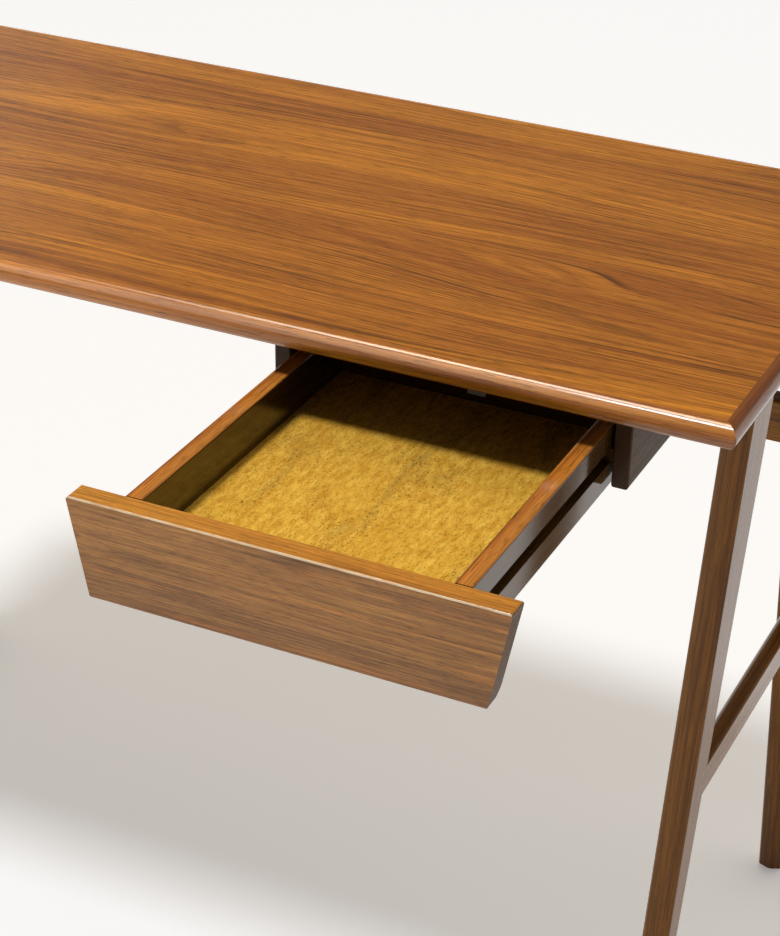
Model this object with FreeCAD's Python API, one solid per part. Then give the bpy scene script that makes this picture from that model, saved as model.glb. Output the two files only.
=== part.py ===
"""Small writing desk with one hanging drawer, in millimetres, +Z up.

The origin lies on the floor under the middle of the desk with its drawer pulled out: X runs
along the top, Y from the sitter to the back edge, Z up. Two side frames carry the top, each of two
splayed and tapered legs with a bearer and a low stretcher. A back rail ties the frames together.
The drawer hangs between two cheeks under the top and slides on wooden runners in its side grooves.
"""
import FreeCAD, Part
import math
import os

Vector = FreeCAD.Vector

# Driving sizes of the whole desk
desk_height = 740.0
top_length = 1070.0
top_depth = 500.0
top_thickness = 20.0

# The top: a veneered core inside a solid half-round lipping
lipping_width = 11.0
veneer_thickness = 0.6
top_corner_radius = 2.5

# The legs, measured along the depth on the underside of the top and at the foot
leg_thickness = 24.0
leg_inset_from_end = 23.0
leg_head_setback = 134.0
leg_head_width = 57.0
leg_foot_setback = 21.0
leg_foot_width = 24.0
leg_crown = 3.0
leg_inner_rounding = 4.5
leg_outer_arris = 1.0

# The low stretcher of a side frame
stretcher_top_drop = 375.0
stretcher_height = 29.0
stretcher_thickness = 18.0
stretcher_inner_rounding = 8.0
stretcher_arris = 1.2

# The bearer under the top, between the heads of a frame's legs
bearer_height = 36.0
bearer_thickness = 18.0
bearer_inset = 3.0
bearer_arris = 1.5

# The rail between the back legs
back_rail_top_drop = 153.0
back_rail_height = 40.0
back_rail_thickness = 22.0
back_rail_rounding = 3.0

# Tenons and the room past their ends
tenon_length = 18.0
tenon_shoulder = 4.0
mortise_end_room = 1.0

# The round glide under each foot
glide_height = 3.0
glide_radius = 9.5

# The cheeks that carry the drawer, housed in the underside of the top
drawer_centre_from_end = 241.0
cheek_setback = 43.0
cheek_length = 335.0
cheek_height = 73.0
cheek_thickness = 14.0
cheek_lower_rounding = 2.5
cheek_front_arris = 1.0
cheek_housing_depth = 5.0

# The drawer box
drawer_pulled_out = 254.0
drawer_side_gap = 3.0
drawer_drop = 23.0
drawer_width = 267.0
drawer_side_height = 51.5
drawer_side_thickness = 14.0
drawer_side_arris = 1.5
drawer_inner_length = 311.0
drawer_back_thickness = 12.0
drawer_back_arris = 1.2
drawer_back_housing = 4.0
drawer_inner_depth = 37.0
drawer_bottom_thickness = 5.0
drawer_bottom_groove = 5.0
drawer_bottom_slack = 0.5

# The drawer front, wider above than below, with a deep rounding behind its lower edge
front_top_overhang = 37.0
front_bottom_overhang = 22.0
front_height = 79.5
front_thickness = 20.0
front_arris = 1.6
front_grip_rounding = 12.0
front_corner_rounding = 2.5
front_housing_depth = 6.0

# The groove outside each drawer side and the runner in it
groove_below_side_top = 19.5
groove_height = 12.0
groove_depth = 7.0
runner_play = 0.3
runner_end_play = 1.0
runner_setback = 3.0
runner_tail = 6.0
runner_arris = 0.6

# Screws, countersunk, and the shares of a length at which they stand
hole_clearance = 0.05
bearer_screw = {"shank": 2.25, "head": 4.5, "length": 47.0}
runner_screw = {"shank": 1.6, "head": 3.2, "length": 19.0}
bottom_screw = {"shank": 1.5, "head": 3.0, "length": 17.0}
bearer_screw_shares = (0.2, 0.8)
runner_screw_shares = (0.12, 0.88)
bottom_screw_shares = (0.2, 0.8)

# Thickness of a tenon, as a share of its rail's
tenon_thickness_share = 0.45

# Levels and lines worked out from the sizes above
underside = desk_height - top_thickness
foot_level = glide_height
drawer_out_of_top = drawer_pulled_out + front_thickness - cheek_setback
front_edge = (drawer_out_of_top - top_depth) / 2
back_edge = front_edge + top_depth
middle_line = front_edge + top_depth / 2
end_x = top_length / 2
leg_outer_x = end_x - leg_inset_from_end
leg_inner_x = leg_outer_x - leg_thickness
drawer_x = end_x - drawer_centre_from_end
drawer_top = underside - drawer_drop
front_face = front_edge - drawer_out_of_top
front_back_face = front_face + front_thickness
half_box = drawer_width / 2
half_inside = half_box - drawer_side_thickness
side_bottom = drawer_top - drawer_side_height
board_top = drawer_top - drawer_inner_depth
board_bottom = board_top - drawer_bottom_thickness
box_back = front_back_face + drawer_inner_length + drawer_back_thickness
groove_top = drawer_top - groove_below_side_top
groove_bottom = groove_top - groove_height
cheek_front = front_edge + cheek_setback
cheek_inner = half_box + drawer_side_gap

nodes = {}


def block(x0, x1, y0, y1, z0, z1):
    """Box between two corners, given in any order along each axis."""
    low = Vector(min(x0, x1), min(y0, y1), min(z0, z1))
    return Part.makeBox(abs(x1 - x0), abs(y1 - y0), abs(z1 - z0), low)


def prism(points, along):
    """Closed outline of points, extruded by a vector."""
    outline = Part.makePolygon(points + [points[0]])
    return Part.Face(outline).extrude(along)


def round_edges(solid, radius, wanted):
    """Round the edges for which wanted(edge) holds."""
    edges = [edge for edge in solid.Edges if wanted(edge)]
    return solid.makeFillet(radius, edges)


def chamfer_edges(solid, width, wanted):
    """Chamfer the edges for which wanted(edge) holds."""
    edges = [edge for edge in solid.Edges if wanted(edge)]
    return solid.makeChamfer(width, edges)


def runs_along(edge, axis):
    """True where a straight edge lies along the given axis."""
    direction = edge.Vertexes[-1].Point - edge.Vertexes[0].Point
    return abs(direction.normalize().dot(axis)) > math.cos(math.radians(1))


def reflected(solid, through, normal):
    """Mirror image of a solid, with its faces still pointing outwards."""
    image = solid.mirror(through, normal)
    return Part.Solid(image.Shells[0]) if image.Volume < 0 else image


def other_side(solid):
    """Mirror image across the desk, from the right end to the left."""
    return reflected(solid, Vector(0, 0, 0), Vector(1, 0, 0))


def front_to_back(solid):
    """Mirror image along the depth, from the front half to the back half."""
    return reflected(solid, Vector(0, middle_line, 0), Vector(0, 1, 0))


def turned_pin(profile, at, along):
    """Revolve a profile of (radius, distance) pairs and stand it at a point, along an axis."""
    points = [Vector(radius, 0, distance) for radius, distance in profile]
    face = Part.Face(Part.makePolygon(points + [points[0]]))
    pin = face.revolve(Vector(0, 0, 0), Vector(0, 0, 1), 360)
    pin.Placement = FreeCAD.Placement(at, FreeCAD.Rotation(Vector(0, 0, 1), along))
    return pin


def screw(kind, at, along, grow=0.0):
    """Countersunk screw with its head's face at a point; grow widens it for its hole."""
    shank = kind["shank"] + grow
    head = kind["head"] + grow
    length = kind["length"] + grow
    cone = head - shank
    profile = [(0, 0), (head, 0), (shank, cone), (shank, length), (0, length)]
    return turned_pin(profile, at, along)


def drilled(solid, holes):
    """Cut a list of hole shapes from a solid."""
    return solid.cut(Part.makeCompound(holes)) if holes else solid


def whole_top():
    """Outer form of the top: half-round edges that meet in a mitre, eased at the corners."""
    radius = top_thickness / 2
    mid = underside + radius

    def nosed(half_span, half_run, axis):
        """Slab with half-round noses at both ends of its span, run along the other axis."""
        across = Vector(0, 1, 0) if axis.x else Vector(1, 0, 0)
        up = Vector(0, 0, 1)
        base = axis * -half_run + Vector(0, 0, mid)
        inner = half_span - radius
        corner = [base + across * (side * inner) + up * (level * radius)
                  for side, level in ((-1, -1), (1, -1), (1, 1), (-1, 1))]
        edges = [
            Part.LineSegment(corner[0], corner[1]).toShape(),
            Part.Arc(corner[1], base + across * half_span, corner[2]).toShape(),
            Part.LineSegment(corner[2], corner[3]).toShape(),
            Part.Arc(corner[3], base - across * half_span, corner[0]).toShape(),
        ]
        return Part.Face(Part.Wire(edges)).extrude(axis * (2 * half_run))

    along = nosed(top_depth / 2, top_length / 2, Vector(1, 0, 0))
    across = nosed(top_length / 2, top_depth / 2, Vector(0, 1, 0))
    plan = block(-end_x, end_x, -top_depth / 2, top_depth / 2, underside, desk_height)
    plan = round_edges(plan, top_corner_radius, lambda edge: runs_along(edge, Vector(0, 0, 1)))
    top = along.common(across).common(plan)
    top.translate(Vector(0, middle_line, 0))
    return top


def make_top():
    """Core, two veneers and four mitred lippings."""
    top = whole_top()
    core_x = end_x - lipping_width
    core_front = front_edge + lipping_width
    core_back = back_edge - lipping_width
    core_low = underside + veneer_thickness
    core_high = desk_height - veneer_thickness
    core = block(-core_x, core_x, core_front, core_back, core_low, core_high)
    nodes["top_core"] = core
    nodes["top_veneer"] = block(-core_x, core_x, core_front, core_back, core_high, desk_height)
    nodes["underside_veneer"] = block(-core_x, core_x, core_front, core_back, underside, core_low)
    sides = {
        "front": [(-end_x, front_edge), (end_x, front_edge), (core_x, core_front),
                  (-core_x, core_front)],
        "back": [(-end_x, back_edge), (end_x, back_edge), (core_x, core_back),
                 (-core_x, core_back)],
        "left": [(-end_x, front_edge), (-core_x, core_front), (-core_x, core_back),
                 (-end_x, back_edge)],
        "right": [(end_x, front_edge), (core_x, core_front), (core_x, core_back),
                  (end_x, back_edge)],
    }
    for side, plan in sides.items():
        wedge = prism([Vector(x, y, underside) for x, y in plan], Vector(0, 0, top_thickness))
        nodes["lipping_" + side] = top.common(wedge)


def leg_front_line(level):
    """Y of a front leg's front face at a level."""
    share = (underside - level) / (underside - foot_level)
    return front_edge + leg_head_setback + share * (leg_foot_setback - leg_head_setback)


def leg_rear_line(level):
    """Y of a front leg's rear face at a level."""
    share = (underside - level) / (underside - foot_level)
    width = leg_head_width + share * (leg_foot_width - leg_head_width)
    return leg_front_line(level) + width


def crowned_prism(foot_line, head_line, inward):
    """Upright strip of a leg from foot to head, crowned along its edge at the two lines.

    The edge leans from the foot's line to the head's, and its wood lies inward of it. The inner
    corner runs smoothly from the crown into the flat cheek, and the outer one is chamfered."""
    half = leg_thickness / 2
    middle_x = leg_outer_x - half
    bow = (half * half + leg_crown * leg_crown) / (2 * leg_crown)
    crown_centre = Vector(middle_x, foot_line + inward * bow, foot_level)

    def corner(side, rounding):
        """Points where an eased corner leaves the crown, is halfway round, and meets the cheek."""
        along = half - rounding
        rise = math.sqrt((bow - rounding) ** 2 - along ** 2)
        centre = crown_centre + Vector(side * along, -inward * rise, 0)
        to_crown = (centre - crown_centre).normalize()
        to_cheek = Vector(side, 0, 0)
        halfway = (to_crown + to_cheek).normalize()
        return [centre + way * rounding for way in (to_crown, halfway, to_cheek)]

    outer = corner(1, leg_outer_arris)
    inner = corner(-1, leg_inner_rounding)
    far = foot_line + inward * (leg_head_width + leg_thickness)
    outer_far = Vector(leg_outer_x, far, foot_level)
    inner_far = Vector(leg_inner_x, far, foot_level)
    outline = Part.Wire([
        Part.LineSegment(outer_far, outer[2]).toShape(),
        Part.LineSegment(outer[2], outer[0]).toShape(),
        Part.Arc(outer[0], Vector(middle_x, foot_line, foot_level), inner[0]).toShape(),
        Part.Arc(inner[0], inner[1], inner[2]).toShape(),
        Part.LineSegment(inner[2], inner_far).toShape(),
        Part.LineSegment(inner_far, outer_far).toShape(),
    ])
    return Part.Face(outline).extrude(Vector(0, head_line - foot_line, underside - foot_level))


def leg_blank():
    """Right front leg before its mortises: where its front and rear strips overlap."""
    front = crowned_prism(leg_front_line(foot_level), leg_front_line(underside), 1)
    rear = crowned_prism(leg_rear_line(foot_level), leg_rear_line(underside), -1)
    return front.common(rear).removeSplitter()


def tenon(outer_x, thickness, high, low, tip_y, root_y, room=0.0):
    """Tenon of a rail that runs along the depth, with room past its tip for the mortise."""
    width = thickness * tenon_thickness_share
    middle = outer_x - thickness / 2
    reach = tip_y + room * (1 if tip_y > root_y else -1)
    return block(middle - width / 2, middle + width / 2, reach, root_y,
                 low + tenon_shoulder, high - tenon_shoulder)


def coped_rail(outer_x, thickness, high, low, legs, shape):
    """Rail between two legs: its ends fit their crowned faces and carry tenons.

    Returns the rail and the two mortise shapes, front and back."""
    front_shoulder = leg_rear_line((high + low) / 2)
    back_shoulder = 2 * middle_line - front_shoulder
    reach = leg_head_width / 3
    bar = block(outer_x - thickness, outer_x, front_shoulder - reach, back_shoulder + reach,
                low, high)
    rail = shape(bar)
    for leg in legs:
        rail = rail.cut(leg)
    mortises = []
    for shoulder, sign in ((front_shoulder, -1), (back_shoulder, 1)):
        tip = shoulder + sign * tenon_length
        root = shoulder - sign * tenon_length
        rail = rail.fuse(tenon(outer_x, thickness, high, low, tip, root))
        mortises.append(tenon(outer_x, thickness, high, low, tip, root, mortise_end_room))
    return rail.removeSplitter(), mortises


def make_side_frames():
    """Legs, stretchers, bearers and their screws, made at the right end and mirrored."""
    front_leg = leg_blank()
    back_leg = front_to_back(front_leg)
    legs = (front_leg, back_leg)

    stretcher_high = desk_height - stretcher_top_drop
    stretcher_low = stretcher_high - stretcher_height
    stretcher_inner = leg_outer_x - stretcher_thickness

    def rounded_stretcher(bar):
        """Large rounding on the upper inner edge, small chamfers on the rest."""
        def upper_inner(edge):
            """True for the long edge that faces the sitter's knees."""
            box = edge.BoundBox
            return (runs_along(edge, Vector(0, 1, 0)) and box.XMax < stretcher_inner + stretcher_arris
                    and box.ZMin > stretcher_high - stretcher_arris)

        def other_long(edge):
            """True for the remaining sharp long edges."""
            box = edge.BoundBox
            corner = box.ZMin < stretcher_low + stretcher_arris or box.XMin > leg_outer_x - stretcher_arris
            return runs_along(edge, Vector(0, 1, 0)) and corner

        bar = round_edges(bar, stretcher_inner_rounding, upper_inner)
        return chamfer_edges(bar, stretcher_arris, other_long)

    def eased_bearer(bar):
        """Small chamfers on the two lower long edges."""
        low_edges = underside - bearer_height + bearer_arris
        return chamfer_edges(bar, bearer_arris, lambda edge: runs_along(edge, Vector(0, 1, 0))
                             and edge.BoundBox.ZMax < low_edges)

    stretcher, stretcher_mortises = coped_rail(
        leg_outer_x, stretcher_thickness, stretcher_high, stretcher_low, legs, rounded_stretcher)
    bearer_outer = leg_outer_x - bearer_inset
    bearer_low = underside - bearer_height
    bearer, bearer_mortises = coped_rail(
        bearer_outer, bearer_thickness, underside, bearer_low, legs, eased_bearer)

    screws = []
    holes = []
    first = leg_rear_line(underside)
    span = 2 * (middle_line - first)
    screw_x = bearer_outer - bearer_thickness / 2
    for share in bearer_screw_shares:
        at = Vector(screw_x, first + share * span, bearer_low)
        screws.append(screw(bearer_screw, at, Vector(0, 0, 1)))
        holes.append(screw(bearer_screw, at, Vector(0, 0, 1), hole_clearance))
    bearer = drilled(bearer, holes)

    rail_mortise = back_rail_tenon(mortise_end_room)
    front_leg = drilled(front_leg, [stretcher_mortises[0], bearer_mortises[0]])
    back_leg = drilled(back_leg, [stretcher_mortises[1], bearer_mortises[1], rail_mortise])

    right = {"leg_front": front_leg, "leg_back": back_leg, "stretcher": stretcher, "bearer": bearer,
             "glide_front": glide(leg_foot_middle()),
             "glide_back": glide(2 * middle_line - leg_foot_middle())}
    for name, solid in right.items():
        nodes[name + "_right"] = solid
        nodes[name + "_left"] = other_side(solid)

    every_hole = holes + [other_side(hole) for hole in holes]
    nodes["bearer_screws"] = Part.makeCompound(screws + [other_side(one) for one in screws])
    for name in ("top_core", "underside_veneer"):
        nodes[name] = drilled(nodes[name], every_hole)


def leg_foot_middle():
    """Y of the middle of a front leg's foot."""
    return (leg_front_line(foot_level) + leg_rear_line(foot_level)) / 2


def glide(foot_y):
    """Round glide under a foot."""
    centre = Vector(leg_outer_x - leg_thickness / 2, foot_y, 0)
    profile = [(0, 0), (glide_radius, 0), (glide_radius, foot_level), (0, foot_level)]
    return turned_pin(profile, centre, Vector(0, 0, 1))


def back_rail_line():
    """Y of the back rail's middle: it is centred in the back legs at its own level."""
    level = desk_height - back_rail_top_drop - back_rail_height / 2
    return 2 * middle_line - (leg_front_line(level) + leg_rear_line(level)) / 2


def back_rail_tenon(room=0.0):
    """Right-hand tenon of the back rail, with room past its tip for the mortise."""
    high = desk_height - back_rail_top_drop - tenon_shoulder
    low = desk_height - back_rail_top_drop - back_rail_height + tenon_shoulder
    half = back_rail_thickness * tenon_thickness_share / 2
    middle = back_rail_line()
    return block(leg_inner_x - tenon_length, leg_inner_x + tenon_length + room, middle - half,
                 middle + half, low, high)


def make_back_rail():
    """Rail between the back legs, rounded along its length, with a tenon at each end."""
    high = desk_height - back_rail_top_drop
    middle = back_rail_line()
    half = back_rail_thickness / 2
    rail = block(-leg_inner_x, leg_inner_x, middle - half, middle + half,
                 high - back_rail_height, high)
    rail = round_edges(rail, back_rail_rounding, lambda edge: runs_along(edge, Vector(1, 0, 0)))
    right = back_rail_tenon()
    nodes["back_rail"] = rail.fuse([right, other_side(right)]).removeSplitter()


def about_drawer(solid):
    """Mirror image across the drawer's own middle, from its right side to its left."""
    return reflected(solid, Vector(drawer_x, 0, 0), Vector(1, 0, 0))


def make_cheeks():
    """Cheeks housed in the underside of the top, and the runners screwed inside them."""
    inner = drawer_x + cheek_inner
    outer = inner + cheek_thickness
    cheek_low = underside - cheek_height
    cheek_back = cheek_front + cheek_length
    cheek = block(inner, outer, cheek_front, cheek_back, cheek_low, underside + cheek_housing_depth)
    housing = block(inner, outer, cheek_front, cheek_back, underside, underside + cheek_housing_depth)

    def lower_long(edge):
        """True for the two long edges along the cheek's foot."""
        return runs_along(edge, Vector(0, 1, 0)) and edge.BoundBox.ZMax < underside - cheek_lower_rounding

    def front_upright(edge):
        """True for the two upright edges of the cheek's front end."""
        return runs_along(edge, Vector(0, 0, 1)) and edge.BoundBox.YMax < cheek_front + cheek_front_arris

    cheek = chamfer_edges(cheek, cheek_front_arris, front_upright)
    cheek = round_edges(cheek, cheek_lower_rounding, lower_long)

    runner_high = groove_top - runner_play
    runner_low = groove_bottom + runner_play
    runner_inner = drawer_x + half_box - groove_depth + runner_end_play
    runner_front = cheek_front + runner_setback
    runner_back = cheek_back - runner_tail
    runner = block(runner_inner, inner, runner_front, runner_back, runner_low, runner_high)
    runner = chamfer_edges(runner, runner_arris, lambda edge: runs_along(edge, Vector(0, 1, 0))
                           and edge.BoundBox.XMax < runner_inner + runner_arris)

    screws = []
    screw_holes = []
    for share in runner_screw_shares:
        y = runner_front + share * (runner_back - runner_front)
        at = Vector(runner_inner, y, (runner_high + runner_low) / 2)
        screws.append(screw(runner_screw, at, Vector(1, 0, 0)))
        screw_holes.append(screw(runner_screw, at, Vector(1, 0, 0), hole_clearance))

    cheek = drilled(cheek, screw_holes)
    runner = drilled(runner, screw_holes)
    for name, solid in (("drawer_cheek", cheek), ("drawer_runner", runner)):
        nodes[name + "_right"] = solid
        nodes[name + "_left"] = about_drawer(solid)
    nodes["runner_screws"] = Part.makeCompound(screws + [about_drawer(one) for one in screws])
    for name in ("top_core", "underside_veneer"):
        nodes[name] = drilled(nodes[name], [housing, about_drawer(housing)])


def drawer_front_form():
    """Front board: slanted ends with eased corners, and a grip rounded behind its lower edge."""
    low = drawer_top - front_height
    half_top = half_box + front_top_overhang
    half_bottom = half_box + front_bottom_overhang
    slanted = prism([
        Vector(drawer_x - half_bottom, front_face, low),
        Vector(drawer_x + half_bottom, front_face, low),
        Vector(drawer_x + half_top, front_face, drawer_top),
        Vector(drawer_x - half_top, front_face, drawer_top),
    ], Vector(0, front_thickness, 0))
    slanted = round_edges(slanted, front_corner_rounding, lambda edge: runs_along(edge, Vector(0, 1, 0)))
    board = block(drawer_x - half_top, drawer_x + half_top, front_face, front_back_face,
                  low, drawer_top)

    def at(edge, y, z):
        """True for the long edge of the board at the given line."""
        middle = edge.BoundBox.Center
        return runs_along(edge, Vector(1, 0, 0)) and abs(middle.y - y) + abs(middle.z - z) < front_arris

    board = round_edges(board, front_grip_rounding, lambda edge: at(edge, front_back_face, low))
    for y, z in ((front_face, low), (front_face, drawer_top), (front_back_face, drawer_top)):
        board = round_edges(board, front_arris, lambda edge, y=y, z=z: at(edge, y, z))
    return board.common(slanted)


def make_drawer():
    """Front, grooved sides, housed back, bottom board, and the screws that hold the board."""
    housing_front = box_back - drawer_back_thickness
    side_front = front_back_face - front_housing_depth
    side_outer = drawer_x + half_box
    side_inner = drawer_x + half_inside
    groove_floor = side_inner + drawer_bottom_groove
    board_edge = groove_floor - drawer_bottom_slack

    side = block(side_inner, side_outer, side_front, box_back, side_bottom, drawer_top)
    side = round_edges(side, drawer_side_arris, lambda edge: runs_along(edge, Vector(0, 1, 0))
                       and edge.BoundBox.ZMin > drawer_top - drawer_side_arris)
    top_stop = drawer_top - front_housing_depth
    side = side.cut(block(side_inner, side_outer, side_front, front_back_face, top_stop, drawer_top))
    housing = block(side_inner, side_outer, side_front, front_back_face, side_bottom, top_stop)
    side = side.cut(block(side_outer - groove_depth, side_outer, front_back_face, box_back,
                          groove_bottom, groove_top))
    side = side.cut(block(side_inner, groove_floor, side_front, box_back, board_bottom, board_top))
    side = side.cut(block(side_inner, side_inner + drawer_back_housing, housing_front, box_back,
                          board_top, drawer_top))
    nodes["drawer_side_right"] = side
    nodes["drawer_side_left"] = about_drawer(side)

    board_groove = block(2 * drawer_x - groove_floor, groove_floor,
                         front_back_face - drawer_bottom_groove, front_back_face,
                         board_bottom, board_top)
    nodes["drawer_front"] = drilled(drawer_front_form(),
                                    [board_groove, housing, about_drawer(housing)])

    back_end = side_inner + drawer_back_housing
    back = block(2 * drawer_x - back_end, back_end, housing_front, box_back, board_top, drawer_top)
    back = round_edges(back, drawer_back_arris, lambda edge: runs_along(edge, Vector(1, 0, 0))
                       and edge.BoundBox.ZMin > drawer_top - drawer_back_arris)
    board = block(2 * drawer_x - board_edge, board_edge,
                  front_back_face - drawer_bottom_groove + drawer_bottom_slack, box_back,
                  board_bottom, board_top)

    screws = []
    screw_holes = []
    for share in bottom_screw_shares:
        x = drawer_x - half_inside + share * 2 * half_inside
        at = Vector(x, box_back - drawer_back_thickness / 2, board_bottom)
        screws.append(screw(bottom_screw, at, Vector(0, 0, 1)))
        screw_holes.append(screw(bottom_screw, at, Vector(0, 0, 1), hole_clearance))
    nodes["drawer_back"] = drilled(back, screw_holes)
    nodes["drawer_bottom"] = drilled(board, screw_holes)
    nodes["drawer_bottom_screws"] = Part.makeCompound(screws)


def write_parts():
    """Check each node and write it to its own file."""
    os.makedirs("parts", exist_ok=True)
    for name in sorted(nodes):
        shape = nodes[name]
        if not shape.isValid() or not shape.Solids:
            raise ValueError(name + " is not a valid solid")
        if min(solid.Volume for solid in shape.Solids) <= 0:
            raise ValueError(name + " is inside out")
        shape.exportStep("parts/" + name + ".step")
        box = shape.BoundBox
        print(f"{name:24s} solids {len(shape.Solids)}  size {box.XLength:.1f} x {box.YLength:.1f}"
              f" x {box.ZLength:.1f}  volume {shape.Volume / 1000:.1f} cm3")


make_top()
make_side_frames()
make_back_rail()
make_cheeks()
make_drawer()
write_parts()
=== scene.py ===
"""A small walnut writing desk with one drawer: its finishes, its tag, and the stage it is seen on.

Every length is in metres, in the desk's own frame: X runs along the desk, Y from front to back, Z up.
"""

import math

import bpy
from mathutils import Euler, Matrix, Vector


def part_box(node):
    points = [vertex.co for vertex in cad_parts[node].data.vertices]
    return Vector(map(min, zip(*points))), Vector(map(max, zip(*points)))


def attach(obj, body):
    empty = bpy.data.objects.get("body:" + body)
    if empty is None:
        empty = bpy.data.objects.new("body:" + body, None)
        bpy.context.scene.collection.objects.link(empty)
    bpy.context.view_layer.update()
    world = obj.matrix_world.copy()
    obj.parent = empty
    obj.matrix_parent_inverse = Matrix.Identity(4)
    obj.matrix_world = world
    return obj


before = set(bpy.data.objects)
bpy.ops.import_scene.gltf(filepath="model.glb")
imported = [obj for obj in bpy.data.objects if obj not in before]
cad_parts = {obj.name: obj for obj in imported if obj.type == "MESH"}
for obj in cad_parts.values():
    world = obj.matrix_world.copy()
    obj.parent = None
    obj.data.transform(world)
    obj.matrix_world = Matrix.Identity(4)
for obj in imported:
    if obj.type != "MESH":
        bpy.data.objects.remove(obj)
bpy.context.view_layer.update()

bl_info = {
    "name": "Writing Desk Finishes",
    "version": (1, 0, 0),
    "blender": (4, 5, 0),
    "location": "3D View > Sidebar > Desk",
    "description": "Finishes and stage for a small walnut writing desk with one drawer",
    "category": "Object",
}

PHOTO_WIDTH_PX = 780
PHOTO_HEIGHT_PX = 936


# Small helpers for shader nodes

def hex_colour(code):
    """A colour that is written as it looks on a screen, such as "B0723E", in Blender's linear values."""
    parts = [int(code[i:i + 2], 16) / 255 for i in (0, 2, 4)]
    return tuple(p / 12.92 if p <= 0.04045 else ((p + 0.055) / 1.055) ** 2.4 for p in parts)


def add(tree, kind, inputs=None, **settings):
    """Adds one shader node. Inputs are values, or the output sockets that feed them."""
    made = tree.nodes.new("ShaderNode" + kind)
    for name, value in settings.items():
        setattr(made, name, value)
    for name, value in (inputs or {}).items():
        socket = made.inputs[name]
        if isinstance(value, bpy.types.NodeSocket):
            tree.links.new(value, socket)
        elif socket.type == "RGBA":
            socket.default_value = (*value[:3], 1)
        else:
            socket.default_value = value
    return made


def maths(tree, operation, *values):
    """One sum, with its result's socket."""
    return add(tree, "Math", dict(enumerate(values)), operation=operation).outputs[0]


def product(tree, value, *others):
    """Values multiplied by each other, in their order."""
    for other in others:
        value = maths(tree, "MULTIPLY", value, other)
    return value


def blended(tree, share, first, second):
    """Two colours mixed, with the result's socket."""
    made = add(tree, "Mix", data_type="RGBA", clamp_factor=True)
    for place, value in ((0, share), (6, first), (7, second)):
        if isinstance(value, bpy.types.NodeSocket):
            tree.links.new(value, made.inputs[place])
        else:
            made.inputs[place].default_value = value if place == 0 else (*value[:3], 1)
    return made.outputs[2]


def stretched(tree, vector, along, across):
    """A vector scaled by one number along X and by another across it, to draw a pattern out."""
    return add(tree, "VectorMath", {0: vector, 1: (along, across, across)}, operation="MULTIPLY").outputs[0]


def noise(tree, vector, scale=1.0, detail=2.0, roughness=0.5, distortion=0.0):
    """The value of a noise on a vector."""
    return add(tree, "TexNoise", {
        "Vector": vector, "Scale": scale, "Detail": detail,
        "Roughness": roughness, "Distortion": distortion,
    }).outputs["Fac"]


def spread(tree, value, low, high, to_low=0.0, to_high=1.0, smooth=True):
    """A value's range from low to high, spread from to_low to to_high."""
    return add(tree, "MapRange", {
        "Value": value, "From Min": low, "From Max": high, "To Min": to_low, "To Max": to_high,
    }, interpolation_type="SMOOTHSTEP" if smooth else "LINEAR").outputs[0]


def band(tree, value, start, full, fading, end):
    """One between full and fading, nothing before start and after end, and smooth steps in between."""
    return product(tree, spread(tree, value, start, full), spread(tree, value, fading, end, 1.0, 0.0))


def new_group(name, inputs, outputs):
    """An empty shader node group with named sockets. Each socket is (name, kind, default or None)."""
    tree = bpy.data.node_groups.new(name, "ShaderNodeTree")
    for (label, kind, default) in inputs:
        socket = tree.interface.new_socket(label, in_out="INPUT", socket_type="NodeSocket" + kind)
        if default is not None:
            socket.default_value = default
    for (label, kind) in outputs:
        tree.interface.new_socket(label, in_out="OUTPUT", socket_type="NodeSocket" + kind)
    return tree, tree.nodes.new("NodeGroupInput").outputs, tree.nodes.new("NodeGroupOutput").inputs


# The wood grain, shared by every wooden piece. Each pattern is how fine it is along the grain and
# across it, its detail and its roughness.

SWAY = (1.3, 11.0, 0.6, 0.5)
RIPPLE = (7.0, 26.0, 2.0, 0.5)
PATCH = (5.0, 22.0, 2.0, 0.5)
DRIFT = (0.9, 13.0, 3.0, 0.5)
STREAK = (2.3, 210.0, 3.0, 0.65)
SHINE = (1.5, 115.0, 3.0, 0.6)
SMUDGE = (7.0, 30.0, 1.0, 0.5)
FIBRE = (11.0, 520.0, 2.0, 0.6)
PORE = (60.0, 1150.0, 1.0, 0.5)
RIPPLE_DEPTH = 0.003
RING_UNEVENNESS = 3.0
UNEVENNESS_SCALE = 0.31
LATE_WOOD_START = 0.45
LATE_WOOD_PEAK = 0.93
DRIFT_SHARE = 0.46
STREAK_SHARE = 0.54
SMUDGE_SHARE = 0.28
FIBRE_SHARE = 0.5


def drawn(tree, vector, pattern):
    """A noise that is drawn out along the grain."""
    along, across, detail, roughness = pattern
    return noise(tree, stretched(tree, vector, along, across), detail=detail, roughness=roughness)


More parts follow.
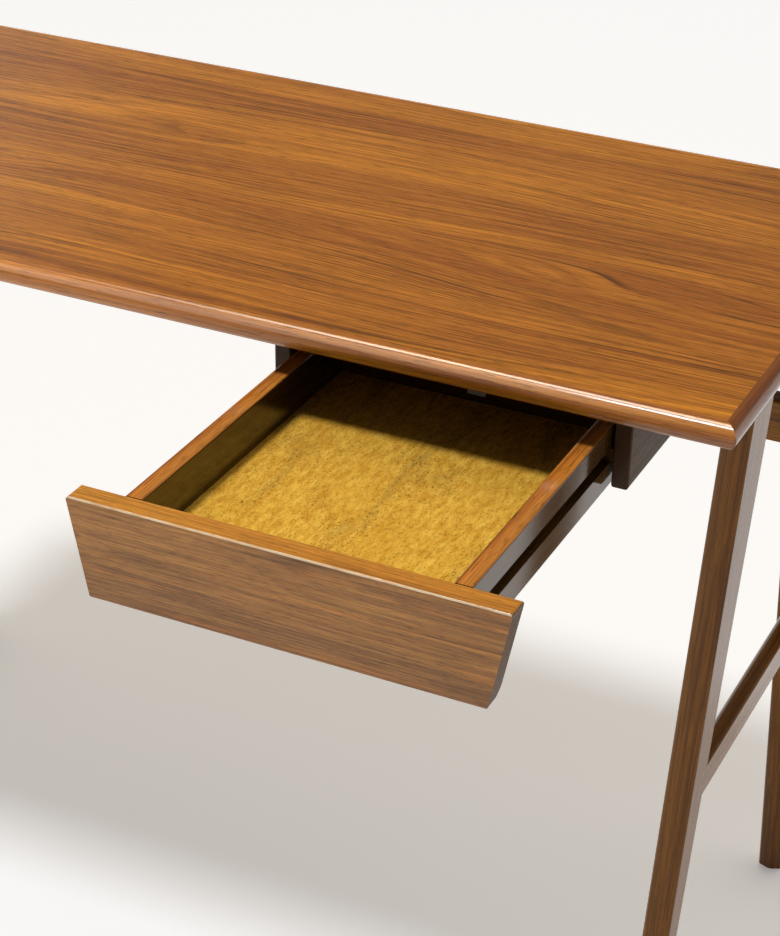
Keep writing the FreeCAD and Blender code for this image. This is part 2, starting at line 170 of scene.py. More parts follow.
def build_wood_grain():
    """Sawn wood with rings round a heart line, streaks, fibres and open pores. X runs along the grain."""
    tree, given, result = new_group("wood_grain", [
        ("Vector", "Vector", None),
        ("Light", "Color", (0.5, 0.3, 0.15, 1)),
        ("Dark", "Color", (0.2, 0.1, 0.05, 1)),
        ("Line", "Color", (0.1, 0.05, 0.02, 1)),
        ("Gold", "Color", (0.6, 0.35, 0.1, 1)),
        ("Ring Spacing", "Float", 0.012),
        ("Ring Strength", "Float", 0.5),
        ("Wander", "Float", 0.02),
        ("Gold Strength", "Float", 0.5),
        ("Fibre Strength", "Float", 0.4),
        ("Pore Strength", "Float", 0.5),
    ], [("Color", "Color"), ("Height", "Float"), ("Roughness", "Float")])
    vector = given["Vector"]

    # The distance from the heart line, which sways and ripples
    sway = product(tree, maths(tree, "SUBTRACT", drawn(tree, vector, SWAY), 0.5), given["Wander"])
    ripple = product(tree, maths(tree, "SUBTRACT", drawn(tree, vector, RIPPLE), 0.5), RIPPLE_DEPTH)
    parts = add(tree, "SeparateXYZ", {0: vector}).outputs
    across = maths(tree, "ADD", parts[1], maths(tree, "ADD", sway, ripple))
    flat = add(tree, "CombineXYZ", {0: 0.0, 1: across, 2: parts[2]}).outputs[0]
    radius = add(tree, "VectorMath", {0: flat}, operation="LENGTH").outputs["Value"]
    bent = add(tree, "CombineXYZ", {0: parts[0], 1: across, 2: parts[2]}).outputs[0]

    # The rings: each darkens slowly through its late wood and ends sharply
    count = maths(tree, "DIVIDE", radius, given["Ring Spacing"])
    unevenness = add(tree, "TexNoise", {"W": count, "Scale": UNEVENNESS_SCALE, "Detail": 3.0},
                     noise_dimensions="1D").outputs["Fac"]
    saw = maths(tree, "FRACT", maths(tree, "ADD", count, product(tree, unevenness, RING_UNEVENNESS)))
    ring = band(tree, saw, LATE_WOOD_START, LATE_WOOD_PEAK, LATE_WOOD_PEAK, 1.0)
    strength = spread(tree, unevenness, 0.35, 0.65, 0.2, 1.0)
    patch = spread(tree, drawn(tree, vector, PATCH), 0.38, 0.64, 0.25, 1.0)
    ring = product(tree, ring, strength, given["Ring Strength"], patch)

    # The patterns that lie over the rings
    drift = spread(tree, drawn(tree, bent, DRIFT), 0.33, 0.67)
    streak = spread(tree, drawn(tree, bent, STREAK), 0.38, 0.62)
    shine = spread(tree, drawn(tree, bent, SHINE), 0.54, 0.68)
    smudge = spread(tree, drawn(tree, bent, SMUDGE), 0.66, 0.80)
    fibre = spread(tree, drawn(tree, vector, FIBRE), 0.38, 0.66)
    pore = spread(tree, drawn(tree, vector, PORE), 0.58, 0.70)

    tone = maths(tree, "ADD", product(tree, drift, DRIFT_SHARE), product(tree, streak, STREAK_SHARE))
    lines = product(tree, fibre, given["Fibre Strength"], FIBRE_SHARE)
    holes = product(tree, pore, given["Pore Strength"])
    colour = blended(tree, tone, given["Light"], given["Dark"])
    colour = blended(tree, product(tree, shine, given["Gold Strength"]), colour, given["Gold"])
    for share in (ring, product(tree, smudge, SMUDGE_SHARE), lines, holes):
        colour = blended(tree, share, colour, given["Line"])
    tree.links.new(colour, result["Color"])

    height = maths(tree, "SUBTRACT", product(tree, fibre, -0.25), holes)
    tree.links.new(height, result["Height"])
    rough = maths(tree, "ADD", product(tree, holes, 0.25), product(tree, fibre, 0.06))
    tree.links.new(rough, result["Roughness"])


# The settings that a user would change

class StageSettings(bpy.types.PropertyGroup):
    camera_place: bpy.props.FloatVectorProperty(
        name="Camera Place", description="Where the camera stands", subtype="TRANSLATION", unit="LENGTH",
        size=3, default=(0.90584, -1.49757, 1.4709))
    camera_right: bpy.props.FloatVectorProperty(
        name="Camera Right", description="The direction of the picture's right side", subtype="XYZ",
        size=3, default=(0.902339, 0.430655, 0.017893))
    camera_forward: bpy.props.FloatVectorProperty(
        name="Camera Forward", description="The direction that the camera looks along", subtype="XYZ",
        size=3, default=(-0.343835, 0.744219, -0.57264))
    focal_px: bpy.props.FloatProperty(
        name="Focal Length", description="The lens's focal length in pixels of the picture", default=2221.44)
    axis_x_px: bpy.props.FloatProperty(
        name="Axis X", description="Where the lens's axis meets the picture, from its left side",
        default=396.54)
    axis_y_px: bpy.props.FloatProperty(
        name="Axis Y", description="Where the lens's axis meets the picture, from its top", default=705.93)
    floor_reach: bpy.props.FloatProperty(
        name="Floor Reach", description="How far the floor runs from the desk", unit="LENGTH", default=40.0)
    floor_colour: bpy.props.FloatVectorProperty(
        name="Floor Colour", description="The floor's colour", subtype="COLOR", size=3,
        default=hex_colour("F9F8F6"))
    floor_lift: bpy.props.FloatProperty(
        name="Floor Lift", description="How much paler the floor looks than it is lit", default=0.175)
    far_lift: bpy.props.FloatProperty(
        name="Far Lift", description="How much the floor is lifted where the lamp is far away", default=0.37)
    # A painted pool of light on the floor in front of the desk
    near_lift: bpy.props.FloatProperty(
        name="Near Lift", description="How much the floor is lifted in front of the desk", default=0.1)
    front_glow: bpy.props.FloatProperty(
        name="Front Glow", description="The soft light that the floor in front of the desk gives back",
        default=1.0)
    room_light: bpy.props.FloatProperty(
        name="Room Light", description="The strength of the light from all round", default=0.38)
    lamp_light: bpy.props.FloatProperty(
        name="Lamp Light", description="The power of the soft lamp overhead", subtype="POWER", default=125.0)
    lamp_place: bpy.props.FloatVectorProperty(
        name="Lamp Place", description="Where the lamp hangs", subtype="TRANSLATION", unit="LENGTH",
        size=3, default=(-0.6, -1.056, 5.15))
    lamp_size: bpy.props.FloatProperty(
        name="Lamp Size", description="How wide the lamp is", unit="LENGTH", default=0.85)
    tag_size: bpy.props.FloatVectorProperty(
        name="Tag Size", description="The drawer tag's width, height and thickness", subtype="XYZ",
        unit="LENGTH", size=3, default=(0.016, 0.011, 0.0009))
    tag_level: bpy.props.FloatProperty(
        name="Tag Level", description="How high the tag's lower edge lies", unit="LENGTH", default=0.666)


def colour_setting(label, description, code):
    """A colour that a user can change, with its default written as it looks on a screen."""
    return bpy.props.FloatVectorProperty(
        name=label, description=description, subtype="COLOR", size=3, default=hex_colour(code))


class FinishSettings(bpy.types.PropertyGroup):
    veneer_light: colour_setting("Veneer Light", "The palest walnut of the top", "E08C26")
    veneer_dark: colour_setting("Veneer Dark", "The browner walnut of the top", "A25A1C")
    veneer_gold: colour_setting("Veneer Gold", "The thin bright streaks of the top", "EE9A22")
    frame_light: colour_setting("Frame Light", "The palest walnut of the legs and rails", "A0661E")
    frame_dark: colour_setting("Frame Dark", "The browner walnut of the legs and rails", "6C4010")
    front_light: colour_setting("Front Light", "The palest walnut of the drawer's front", "C08440")
    front_dark: colour_setting("Front Dark", "The greyer walnut of the drawer's front", "825630")
    front_gold: colour_setting("Front Gold", "The warm streaks of the drawer's front", "CC7E36")
    # The edge and rim tones are paler, lit copies of the drawer's wood: painted light on the upper edges of
    # its front and sides
    edge_light: colour_setting("Edge Light", "The bright upper edges of the drawer", "E2962E")
    edge_dark: colour_setting("Edge Dark", "The browner grain of those edges", "C87C24")
    rim_light: colour_setting("Rim Light", "The bright upper edges of the drawer's sides", "F2A040")
    rim_dark: colour_setting("Rim Dark", "The browner grain of those rims", "C06C24")
    # The box tones are a darker copy of the drawer's wood: painted shade for the inside of the drawer
    box_light: colour_setting("Box Light", "The palest wood of the drawer's sides", "74501A")
    box_dark: colour_setting("Box Dark", "The browner wood of the drawer's sides", "4A3210")
    # A painted highlight on the drawer front's rounded upper front corner
    arris_highlight: colour_setting("Worn Corner", "The pale worn corner along the drawer front", "E6CFA8")
    line: colour_setting("Grain Line", "The dark lines and pores of walnut", "331A08")
    board_light: colour_setting("Board Light", "The palest part of the drawer's bottom board", "FFCA52")
    board_dark: colour_setting("Board Dark", "The browner grain of the bottom board", "D99A30")
    board_cloud: colour_setting("Board Cloud", "The dull clouds on the bottom board", "A07A3C")
    steel: colour_setting("Screw Steel", "The steel of the screws", "B9B4A8")
    glide: colour_setting("Glide", "The dark plastic under the feet", "2B2724")
    tag_paint: colour_setting("Tag Paint", "The pale paint of the drawer's tag", "F4F1EA")


# The finishes

ALONG_X = (0.0, 0.0, 0.0)
ALONG_Y = (0.0, 0.0, math.pi / 2)
LEG_LEAN = 0.178
UP_AND_BACK = (LEG_LEAN, math.pi / 2, 0.0)
UP_AND_FORWARD = (-LEG_LEAN, math.pi / 2, 0.0)
WOOD_IOR = 1.4
LACQUER_ROUGHNESS = 0.13
WOOD_BOUNCE = 0.12
BOARD_BOUNCE = 0.3
BOARD_ROUGHNESS = 0.5
# How fine the noise is that breaks up the painted highlight on the drawer front's corner
HIGHLIGHT_BREAKUP_SCALE = 90.0
END_GRAIN_START = 0.6
END_GRAIN_FULL = 0.9
SIDE_EDGE_SHARES = (0.5, 0.42, 0.4)
# How much of its red, green and blue the frame's wood keeps on the cheeks and runners, as painted shade
CHEEK_SHADE_SHARES = (0.3, 0.37, 0.8)
# How far down from the drawer front's top the painted light on its upper edge and the painted highlight on
# its corner reach, and how far back from its face the highlight reaches; then how far down the painted light
# on the sides' rims reaches
PAINTED_EDGE_HEIGHT = 0.0012
ARRIS_HIGHLIGHT_DEPTH = 0.0013
RIM_HEIGHT = 0.0006
MOTTLE = 0.1
MOTTLE_SCALE = 60.0


def wood(name, tones, line, turned=ALONG_X, heart=(0.0, 0.0, 0.06), spacing=0.012, rings=0.5,
         wander=0.03, gold=0.4, fibres=0.5, pores=0.5, roughness=0.42, coat=1.0, specular=0.3,
         bump=0.00008, crown=None, arris=None, ends=0.55, shell=1.38, fine=1.0):
    """A lacquered wood with light, dark and gold tones.

    heart is a point that the grain's rings run round, and turned lays the grain along an axis. crown
    is a level and the paler tones that the wood has above it: painted light on an upper edge that the
    lamp lights. arris is a depth, a level and the colour of a painted highlight on the corner in front
    of and above them. ends is how much darker the end grain is, shell is the lacquer's index of
    refraction, and fine is how much finer than the top's the grain is. Light that bounces off the
    wood is dimmed, so that the drawer stays as dark inside as it is."""
    made = bpy.data.materials.new(name)
    made.use_nodes = True
    tree = made.node_tree
    tree.nodes.clear()
    place = add(tree, "TexCoord").outputs["Object"]
    centred = add(tree, "VectorMath", {0: place, 1: heart}, operation="SUBTRACT").outputs[0]
    along = add(tree, "Mapping", {"Vector": centred, "Rotation": turned, "Scale": (fine, fine, fine)})
    grain = add(tree, "Group", node_tree=bpy.data.node_groups["wood_grain"])
    tree.links.new(along.outputs[0], grain.inputs["Vector"])
    # Above the crown's level the wood takes paler tones: painted light on an upper edge that the lamp lights
    above = None
    if crown:
        level, crown_tones = crown
        height = add(tree, "SeparateXYZ", {0: place}).outputs[2]
        above = maths(tree, "GREATER_THAN", height, level)
    for index, label in enumerate(("Light", "Dark", "Gold")):
        if above is None:
            grain.inputs[label].default_value = (*tones[index], 1)
        else:
            tree.links.new(blended(tree, above, tones[index], crown_tones[index]), grain.inputs[label])
    grain.inputs["Line"].default_value = (*line, 1)
    for label, value in (("Ring Spacing", spacing), ("Ring Strength", rings), ("Wander", wander),
                         ("Gold Strength", gold), ("Fibre Strength", fibres), ("Pore Strength", pores)):
        grain.inputs[label].default_value = value
    raised = add(tree, "Bump", {"Height": grain.outputs["Height"], "Distance": bump, "Strength": 1.0})
    gloss = maths(tree, "ADD", grain.outputs["Roughness"], roughness)
    shown = grain.outputs["Color"]
    # A painted highlight on the corner in front of the depth and above the level, broken up by a noise
    if arris:
        depth, level, arris_highlight = arris
        where = add(tree, "SeparateXYZ", {0: place}).outputs
        corner = product(tree, maths(tree, "LESS_THAN", where[1], depth),
                         maths(tree, "GREATER_THAN", where[2], level))
        highlight_breakup = spread(tree, noise(tree, place, scale=HIGHLIGHT_BREAKUP_SCALE), 0.3, 0.6, 0.45, 0.8)
        shown = blended(tree, product(tree, corner, highlight_breakup), shown, arris_highlight)
    normal = add(tree, "TexCoord").outputs["Normal"]
    axis = Euler(turned).to_matrix().transposed() @ Vector((1, 0, 0))
    facing = add(tree, "VectorMath", {0: normal, 1: axis}, operation="DOT_PRODUCT").outputs["Value"]
    end_grain = spread(tree, maths(tree, "ABSOLUTE", facing), END_GRAIN_START, END_GRAIN_FULL, 0.0, ends)
    shown = blended(tree, end_grain, shown, line)
    bounced = add(tree, "LightPath").outputs["Is Diffuse Ray"]
    shown = blended(tree, bounced, shown, tuple(part * WOOD_BOUNCE for part in tones[0]))
    surface = add(tree, "BsdfPrincipled", {
        "Base Color": shown, "Roughness": gloss, "Normal": raised.outputs[0],
        "Coat Weight": coat, "Coat Roughness": LACQUER_ROUGHNESS, "Coat IOR": shell, "IOR": WOOD_IOR,
        "Specular IOR Level": specular,
    })
    tree.links.new(surface.outputs[0], add(tree, "OutputMaterial").inputs[0])
    return made


def fleck_board(name, light, dark, cloud, line):
    """A pale rotary-cut board: short dark flecks along Y, and dull clouds."""
    made = bpy.data.materials.new(name)
    made.use_nodes = True
    tree = made.node_tree
    tree.nodes.clear()
    place = add(tree, "TexCoord").outputs["Object"]
    broad = noise(tree, stretched(tree, place, 26.0, 9.0), detail=3.0, distortion=0.6)
    grain = noise(tree, stretched(tree, place, 210.0, 70.0), detail=4.0, roughness=0.75)
    fleck = noise(tree, stretched(tree, place, 760.0, 360.0), detail=2.0, roughness=0.75)
    stripe = noise(tree, stretched(tree, place, 40.0, 6.0), detail=2.0)
    colour = blended(tree, spread(tree, grain, 0.3, 0.7), light, dark)
    colour = blended(tree, spread(tree, stripe, 0.4, 0.66, 0.0, 0.35), colour, dark)
    colour = blended(tree, spread(tree, broad, 0.5, 0.74, 0.0, 0.55), colour, cloud)
    crowd = spread(tree, broad, 0.35, 0.7, 0.45, 0.9)
    specks = product(tree, spread(tree, fleck, 0.52, 0.68, 0.0, 0.8), crowd)
    colour = blended(tree, specks, colour, line)
    # Light that bounces off the board is dimmed, so that the drawer stays dark inside
    bounced = add(tree, "LightPath").outputs["Is Diffuse Ray"]
    colour = blended(tree, bounced, colour, tuple(part * BOARD_BOUNCE for part in cloud))
    raised = add(tree, "Bump", {"Height": fleck, "Distance": 0.0001, "Strength": 0.6})
    surface = add(tree, "BsdfPrincipled", {
        "Base Color": colour, "Roughness": BOARD_ROUGHNESS, "Normal": raised.outputs[0], "IOR": WOOD_IOR,
        "Specular IOR Level": 0.0,
    })
    tree.links.new(surface.outputs[0], add(tree, "OutputMaterial").inputs[0])
    return made


def plain(name, colour, roughness, metallic=0.0):
    """A plain finish with a slight mottle in its colour and gloss."""
    made = bpy.data.materials.new(name)
    made.use_nodes = True
    tree = made.node_tree
    tree.nodes.clear()
    place = add(tree, "TexCoord").outputs["Object"]
    cloud = noise(tree, place, scale=MOTTLE_SCALE, detail=4.0)
    darker = tuple(part * (1 - MOTTLE) for part in colour)
    tone = blended(tree, cloud, darker, colour)
    gloss = spread(tree, cloud, 0.3, 0.7, roughness * 0.85, roughness * 1.15)
    surface = add(tree, "BsdfPrincipled", {"Base Color": tone, "Roughness": gloss, "Metallic": metallic})
    tree.links.new(surface.outputs[0], add(tree, "OutputMaterial").inputs[0])
    return made


def dress(node, material):
    """Puts a finish on every slot of one of the desk's pieces."""
    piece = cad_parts[node]
    piece.data.materials.clear()
    piece.data.materials.append(material)


def piece_middle(node):
    """The middle of one of the desk's pieces."""
    low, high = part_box(node)
    return (low + high) / 2


def deepened(tones, shares):
    """Tones with a share kept of their red, green and blue, for darker copies of a wood's tones."""
    return tuple(tuple(part * share for part, share in zip(tone, shares)) for tone in tones)


class DESK_OT_finish_top(bpy.types.Operator):
    """Finishes the veneered top and its solid edges"""
    bl_idname = "desk.finish_top"
    bl_label = "Finish the Top"

    def execute(self, context):
        finishes = context.scene.desk_finishes
        tones = (tuple(finishes.veneer_light), tuple(finishes.veneer_dark), tuple(finishes.veneer_gold))
        deep = deepened(tones, SIDE_EDGE_SHARES)
        line = tuple(finishes.line)
        middle = piece_middle("top_veneer")
        for node in ("top_veneer", "underside_veneer", "top_core"):
            dress(node, wood(node, tones, line, heart=middle + Vector((0, 0.74, -0.24)), spacing=0.0036,
                             wander=0.12, rings=0.8, specular=0.06, gold=0.5, fibres=0.8))
        for node in ("lipping_front", "lipping_back"):
            dress(node, wood(node, tones, line, heart=middle + Vector((0, 0.2, -0.12))))
        for node in ("lipping_left", "lipping_right"):
            dress(node, wood(node, deep, line, ALONG_Y, heart=middle + Vector((0.3, 0, -0.12))))
        return {"FINISHED"}


class DESK_OT_finish_frames(bpy.types.Operator):
    """Finishes the legs, the rails between them, and the cheeks that carry the drawer"""
    bl_idname = "desk.finish_frames"
    bl_label = "Finish the Frames"

    def execute(self, context):
        finishes = context.scene.desk_finishes
        tones = (tuple(finishes.frame_light), tuple(finishes.frame_dark), tuple(finishes.frame_light))
        # The cheeks and runners take darker copies of the frame's tones: painted shade, as they sit in shade
        # under the top
        painted_shade_tones = deepened(tones, CHEEK_SHADE_SHARES)
        line = tuple(finishes.line)
        for side in ("left", "right"):
            for end, lean in (("front", UP_AND_BACK), ("back", UP_AND_FORWARD)):
                node = f"leg_{end}_{side}"
                heart = piece_middle(node) + Vector((0.05, 0.13, 0))
                dress(node, wood(node, tones, line, lean, heart=heart, specular=0.05, shell=1.27,
                                 rings=0.3, spacing=0.006, wander=0.01, pores=0.35, bump=0.00004, fine=1.5))
            for name in ("stretcher", "bearer"):
                node = f"{name}_{side}"
                heart = piece_middle(node) + Vector((0.03, 0, 0.04))
                dress(node, wood(node, tones, line, ALONG_Y, heart=heart, specular=0.05, shell=1.27,
                                 rings=0.3, spacing=0.006, wander=0.01, pores=0.35, bump=0.00004))
            for name in ("drawer_cheek", "drawer_runner"):
                node = f"{name}_{side}"
                heart = piece_middle(node) + Vector((0.03, 0, 0.04))
                dress(node, wood(node, painted_shade_tones, line, ALONG_Y, heart=heart, coat=0.15, specular=0.15,
                                 rings=0.2, fibres=0.3, fine=1.5, ends=0.75))
        heart = piece_middle("back_rail") + Vector((0, 0.04, 0.03))
        dress("back_rail", wood("back_rail", tones, line, heart=heart, coat=0.5, specular=0.05))
        return {"FINISHED"}


class DESK_OT_finish_drawer(bpy.types.Operator):
    """Finishes the drawer's front, its box and its bottom board"""
    bl_idname = "desk.finish_drawer"
    bl_label = "Finish the Drawer"

    def execute(self, context):
        finishes = context.scene.desk_finishes
        front = (tuple(finishes.front_light), tuple(finishes.front_dark), tuple(finishes.front_gold))
        # The paler tones that the front's upper edge and the sides' rims take are painted light
        lamp_lit_edge_tones = (tuple(finishes.edge_light), tuple(finishes.edge_dark), tuple(finishes.edge_light))
        lamp_lit_rim_tones = (tuple(finishes.rim_light), tuple(finishes.rim_dark), tuple(finishes.rim_light))
        # The sides and back take darker tones: painted shade inside the drawer
        inside = (tuple(finishes.box_light), tuple(finishes.box_dark), tuple(finishes.box_light))
        line = tuple(finishes.line)
        low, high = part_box("drawer_front")
        face, top = low.y, high.z
        heart = piece_middle("drawer_front") + Vector((0, 0.05, 0.02))
        # A painted highlight on the front's upper front corner, and painted light on its upper edge
        corner = (face + ARRIS_HIGHLIGHT_DEPTH, top - PAINTED_EDGE_HEIGHT, tuple(finishes.arris_highlight))
        dress("drawer_front", wood("drawer_front", front, line, heart=heart, spacing=0.007, fibres=0.65,
                                   gold=0.6, crown=(top - PAINTED_EDGE_HEIGHT, lamp_lit_edge_tones), arris=corner, coat=0.6,
                                   specular=0.2, wander=0.05, ends=0.8, fine=1.7))
        for node in ("drawer_side_left", "drawer_side_right"):
            heart = piece_middle(node) + Vector((0.05, 0, 0.02))
            dress(node, wood(node, inside, line, ALONG_Y, heart=heart, crown=(top - RIM_HEIGHT, lamp_lit_rim_tones),
                             specular=0.0, pores=0.6, bump=0.00003, shell=1.5))
        heart = piece_middle("drawer_back") + Vector((0, 0.04, 0.02))
        dress("drawer_back", wood("drawer_back", inside, line, heart=heart, coat=0.0, specular=0.0))
        dress("drawer_bottom", fleck_board("drawer_bottom", tuple(finishes.board_light),
                                           tuple(finishes.board_dark), tuple(finishes.board_cloud), line))
        return {"FINISHED"}


class DESK_OT_finish_fittings(bpy.types.Operator):
    """Finishes the screws and the glides under the feet"""
    bl_idname = "desk.finish_fittings"
    bl_label = "Finish the Fittings"

    def execute(self, context):
        finishes = context.scene.desk_finishes
        steel = plain("screw_steel", tuple(finishes.steel), 0.32, metallic=1.0)
        for node in ("bearer_screws", "runner_screws", "drawer_bottom_screws"):
            dress(node, steel)
        glide = plain("glide_plastic", tuple(finishes.glide), 0.45)
        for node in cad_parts:
            if node.startswith("glide_"):
                dress(node, glide)
        return {"FINISHED"}


# The tag: how much of its thickness its corners lose, and its raised border

TAG_ROUNDING = 0.45
TAG_SMOOTHING = math.radians(40)
TAG_BORDER = 0.0012
TAG_STEP = 0.0003
TAG_SINK = 0.0002


class DESK_OT_add_tag(bpy.types.Operator):
    """Puts a small bare plate on the inner face of the drawer's back"""
    bl_idname = "desk.add_tag"
    bl_label = "Add the Tag"

    def execute(self, context):
        settings = context.scene.desk_stage
        low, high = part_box("drawer_back")
        width, height, thickness = settings.tag_size
        bpy.ops.object.select_all(action="DESELECT")
        bpy.ops.mesh.primitive_cube_add(size=1.0, location=(0, 0, 0))
        tag = context.object
        tag.name = "drawer_tag"
        bpy.ops.object.mode_set(mode="EDIT")
        bpy.ops.mesh.select_all(action="SELECT")
        bpy.ops.transform.resize(value=(width, thickness, height))
        middle = ((low.x + high.x) / 2, low.y - thickness / 2, settings.tag_level + height / 2)
        bpy.ops.transform.translate(value=middle)
        bpy.ops.mesh.bevel(offset=thickness * TAG_ROUNDING, segments=3, affect="EDGES")
        bpy.ops.mesh.select_all(action="DESELECT")
        bpy.ops.object.mode_set(mode="OBJECT")
        for face in tag.data.polygons:
            face.select = face.normal.y < -0.99 and face.area > width * height / 2
        bpy.ops.object.mode_set(mode="EDIT")
        bpy.ops.mesh.inset(thickness=TAG_BORDER)
        bpy.ops.mesh.inset(thickness=TAG_STEP, depth=-TAG_SINK)
        bpy.ops.object.mode_set(mode="OBJECT")
        bpy.ops.object.shade_smooth_by_angle(angle=TAG_SMOOTHING)
        tag.data.materials.append(plain("tag_paint", tuple(context.scene.desk_finishes.tag_paint), 0.4))
        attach(tag, "drawer")
        return {"FINISHED"}


# The stage. The floor and the room look like a pale studio to the camera and in gloss, while the desk
# is lit at a plain level by the lamp and by a dimmer room.

WARM_TONE = (1.0, 0.88, 0.77)
COOL_TONE = (0.91, 1.02, 1.17)
RETURNED_TONE = (0.96, 1.0, 1.07)
ROOM_TONE = (1.0, 0.94, 0.84)
LAMP_TONE = (0.96, 1.0, 1.06)
SKY_STRENGTH = 1.08
BRIGHTEST_WALL = 0.95
PANEL_STRENGTH = 22.0
SOFTBOX_STRENGTH = 4.5
FRONT_SHARE = 0.2
BACK_SHARE = 1.8
SENSOR_WIDTH_MM = 36.0


def floor_paint(settings):
    """A pale paint, lifted where the lamplight fades, and giving soft light back in front of the desk."""
    paint = bpy.data.materials.new("floor_paint")
    paint.use_nodes = True
    tree = paint.node_tree
    tree.nodes.clear()
    ray = add(tree, "LightPath").outputs
    seen = maths(tree, "MAXIMUM", ray["Is Camera Ray"], ray["Is Glossy Ray"])
    seen = maths(tree, "MAXIMUM", seen, ray["Is Transmission Ray"])
    place = add(tree, "TexCoord").outputs["Object"]
    parts = add(tree, "SeparateXYZ", {0: place}).outputs

    # How far the lamplight has faded, by the floor's distance from the point under the lamp
    flat = add(tree, "VectorMath", {0: place, 1: (1, 1, 0)}, operation="MULTIPLY").outputs[0]
    foot = (settings.lamp_place[0], settings.lamp_place[1], 0.0)
    away = add(tree, "VectorMath", {0: flat, 1: foot}, operation="DISTANCE").outputs["Value"]
    away = maths(tree, "DIVIDE", away, settings.lamp_place[2])
    lamplight = maths(tree, "POWER", maths(tree, "ADD", product(tree, away, away), 1.0), -2.0)
    faded = product(tree, maths(tree, "SUBTRACT", 1.0, lamplight), settings.far_lift)
    # A painted pool of light on the floor in front of the desk, fading out under it, which also lightens the
    # front of the desk's shadow
    near = spread(tree, parts[1], -0.12, 0.46, settings.near_lift, 0.0, smooth=False)
    faded = maths(tree, "ADD", faded, near)

    # The soft light that comes back to the desk, most of it from the left
    ahead = spread(tree, parts[1], -1.1, -0.4, settings.front_glow, 0.0)
    leftward = spread(tree, parts[0], -0.8, 1.2, 1.3, 0.4)
    given_back = product(tree, ray["Is Diffuse Ray"], product(tree, ahead, leftward))

    warm = add(tree, "Emission", {"Color": WARM_TONE, "Strength": product(tree, seen, settings.floor_lift)})
    tone = blended(tree, ray["Is Diffuse Ray"], COOL_TONE, RETURNED_TONE)
    glow = add(tree, "Emission", {
        "Color": tone, "Strength": maths(tree, "ADD", product(tree, seen, faded), given_back)})
    matt = add(tree, "BsdfDiffuse", {"Color": tuple(settings.floor_colour)})
    lifted = add(tree, "AddShader", {0: warm.outputs[0], 1: glow.outputs[0]})
    surface = add(tree, "AddShader", {0: matt.outputs[0], 1: lifted.outputs[0]})
    tree.links.new(surface.outputs[0], add(tree, "OutputMaterial").inputs[0])
    return paint


def studio_room(settings):
    """The room round the desk: pale to the camera, with walls and lights of its own in the gloss."""
    world = bpy.data.worlds.new("room")
    world.use_nodes = True
    tree = world.node_tree
    tree.nodes.clear()
    ray = add(tree, "LightPath").outputs
    way = add(tree, "TexCoord").outputs["Generated"]
    way = add(tree, "SeparateXYZ", {0: way}).outputs

    # Pale low walls all round, and a pale wall on the left
    overhead = spread(tree, way[2], 0.05, 0.32, 0.95, 0.12)
    aside = spread(tree, way[0], -0.72, -0.46, 0.85, 0.0)
    mirrored = maths(tree, "MINIMUM", maths(tree, "ADD", overhead, aside), BRIGHTEST_WALL)

    # A bright panel overhead, which the half-round front edge mirrors along its length
    along = band(tree, way[0], -0.52, -0.38, -0.1, 0.05)
    off_middle = maths(tree, "ABSOLUTE", maths(tree, "SUBTRACT", way[1], 0.2))
    deep = spread(tree, off_middle, 0.1, 0.2, 1.0, 0.0)
    panel = product(tree, along, deep, maths(tree, "GREATER_THAN", way[2], 0.5))
    mirrored = maths(tree, "ADD", mirrored, product(tree, panel, PANEL_STRENGTH))

    # A softer light ahead of the desk and to its left
    ahead = product(tree, spread(tree, way[1], -0.3, -0.05, 1.0, 0.0), spread(tree, way[2], 0.15, 0.45),
                    band(tree, way[0], -0.7, -0.55, -0.36, -0.2))
    mirrored = maths(tree, "ADD", mirrored, product(tree, ahead, SOFTBOX_STRENGTH))

    # What lights the desk from all round, mostly from behind it
    room_light = settings.room_light
    behind = spread(tree, way[1], -0.45, 0.35, FRONT_SHARE * room_light, BACK_SHARE * room_light)
    lit = add(tree, "Mix", {0: ray["Is Glossy Ray"], 2: behind, 3: mirrored}).outputs[0]
    clear = maths(tree, "MAXIMUM", ray["Is Camera Ray"], ray["Is Transmission Ray"])
    lit = add(tree, "Mix", {0: clear, 2: lit, 3: SKY_STRENGTH}).outputs[0]
    tint = blended(tree, clear, ROOM_TONE, tuple(settings.floor_colour))
    sky = add(tree, "Background", {"Color": tint, "Strength": lit})
    tree.links.new(sky.outputs[0], add(tree, "OutputWorld").inputs[0])
    return world


def hung_lamp(settings):
    """A soft round lamp that hangs high over the desk's left and points at its middle."""
    light = bpy.data.lights.new("overhead_lamp", "AREA")
    light.shape = "DISK"
    light.size = settings.lamp_size
    light.energy = settings.lamp_light
    light.color = LAMP_TONE
    lamp = bpy.data.objects.new("overhead_lamp", light)
    lamp.location = settings.lamp_place
    lamp.rotation_euler = (-lamp.location).to_track_quat("-Z", "Y").to_euler()
    lamp.visible_camera = False
    return lamp


def placed_camera(settings):
    """The camera at the photograph's place, with its lens's axis off the picture's middle."""
    right = Vector(settings.camera_right).normalized()
    forward = Vector(settings.camera_forward).normalized()
    right = (right - right.dot(forward) * forward).normalized()
    up = right.cross(forward)
    lens = bpy.data.cameras.new("camera")
    long_side = max(PHOTO_WIDTH_PX, PHOTO_HEIGHT_PX)
    lens.sensor_width = SENSOR_WIDTH_MM
    lens.lens = settings.focal_px / long_side * SENSOR_WIDTH_MM
    lens.shift_x = (PHOTO_WIDTH_PX / 2 - settings.axis_x_px) / long_side
    lens.shift_y = (settings.axis_y_px - PHOTO_HEIGHT_PX / 2) / long_side
    camera = bpy.data.objects.new("camera", lens)
    turned = Matrix((right, up, -forward)).transposed()
    camera.matrix_world = Matrix.Translation(settings.camera_place) @ turned.to_4x4()
    return camera


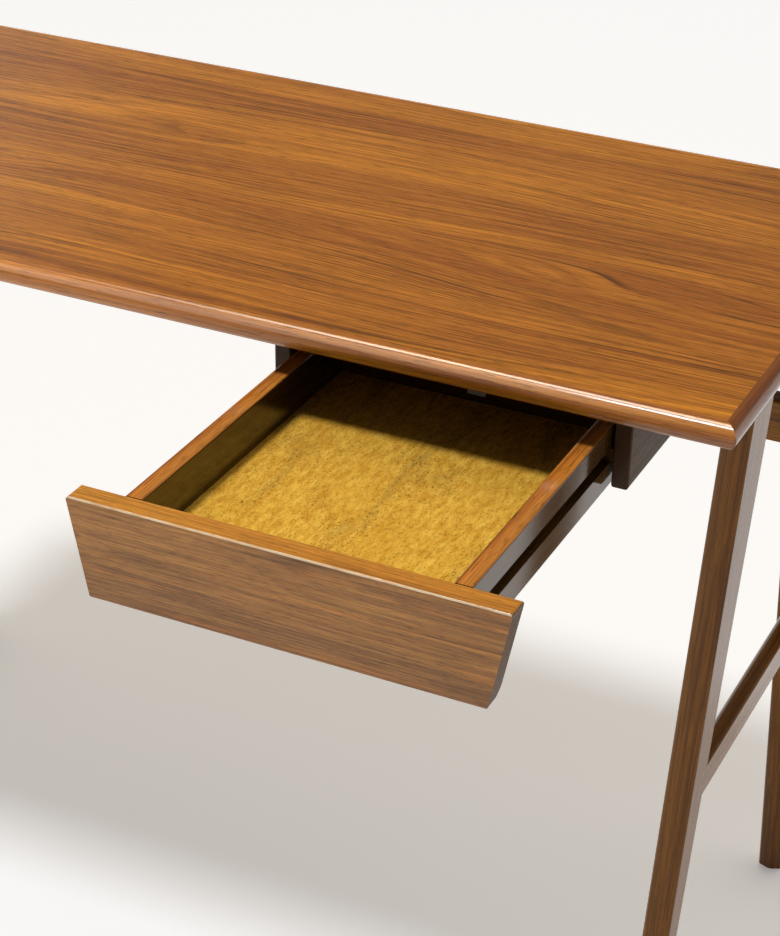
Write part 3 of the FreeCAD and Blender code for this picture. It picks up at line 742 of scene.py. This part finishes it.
class DESK_OT_set_stage(bpy.types.Operator):
    """Lays the pale floor, hangs the soft lamp and sets up the camera"""
    bl_idname = "desk.set_stage"
    bl_label = "Set the Stage"

    def execute(self, context):
        scene = context.scene
        settings = scene.desk_stage
        bpy.ops.object.select_all(action="DESELECT")
        bpy.ops.mesh.primitive_plane_add(size=2 * settings.floor_reach, location=(0, 0, 0))
        floor = context.object
        floor.name = "floor"
        floor.data.materials.append(floor_paint(settings))
        scene.world = studio_room(settings)
        scene.collection.objects.link(hung_lamp(settings))
        scene.camera = placed_camera(settings)
        scene.collection.objects.link(scene.camera)
        scene.view_settings.view_transform = "Standard"
        return {"FINISHED"}


class DESK_PT_panel(bpy.types.Panel):
    """Lists what the desk can be given"""
    bl_idname = "DESK_PT_panel"
    bl_label = "Writing Desk"
    bl_space_type = "VIEW_3D"
    bl_region_type = "UI"
    bl_category = "Desk"

    def draw(self, context):
        for kind in OPERATORS:
            self.layout.operator(kind.bl_idname)
        for settings in (context.scene.desk_stage, context.scene.desk_finishes):
            for name in type(settings).__annotations__:
                self.layout.prop(settings, name)


OPERATORS = (
    DESK_OT_set_stage,
    DESK_OT_finish_top,
    DESK_OT_finish_frames,
    DESK_OT_finish_drawer,
    DESK_OT_finish_fittings,
    DESK_OT_add_tag,
)
CLASSES = (StageSettings, FinishSettings, *OPERATORS, DESK_PT_panel)


def register():
    """Registers the desk's settings, operators and panel"""
    for kind in CLASSES:
        bpy.utils.register_class(kind)
    bpy.types.Scene.desk_stage = bpy.props.PointerProperty(type=StageSettings)
    bpy.types.Scene.desk_finishes = bpy.props.PointerProperty(type=FinishSettings)


def unregister():
    """Takes the desk's settings, operators and panel away again"""
    del bpy.types.Scene.desk_finishes
    del bpy.types.Scene.desk_stage
    for kind in reversed(CLASSES):
        bpy.utils.unregister_class(kind)


def main():
    register()
    build_wood_grain()
    bpy.ops.desk.set_stage()
    bpy.ops.desk.finish_top()
    bpy.ops.desk.finish_frames()
    bpy.ops.desk.finish_drawer()
    bpy.ops.desk.finish_fittings()
    bpy.ops.desk.add_tag()


if __name__ == "__main__":
    main()
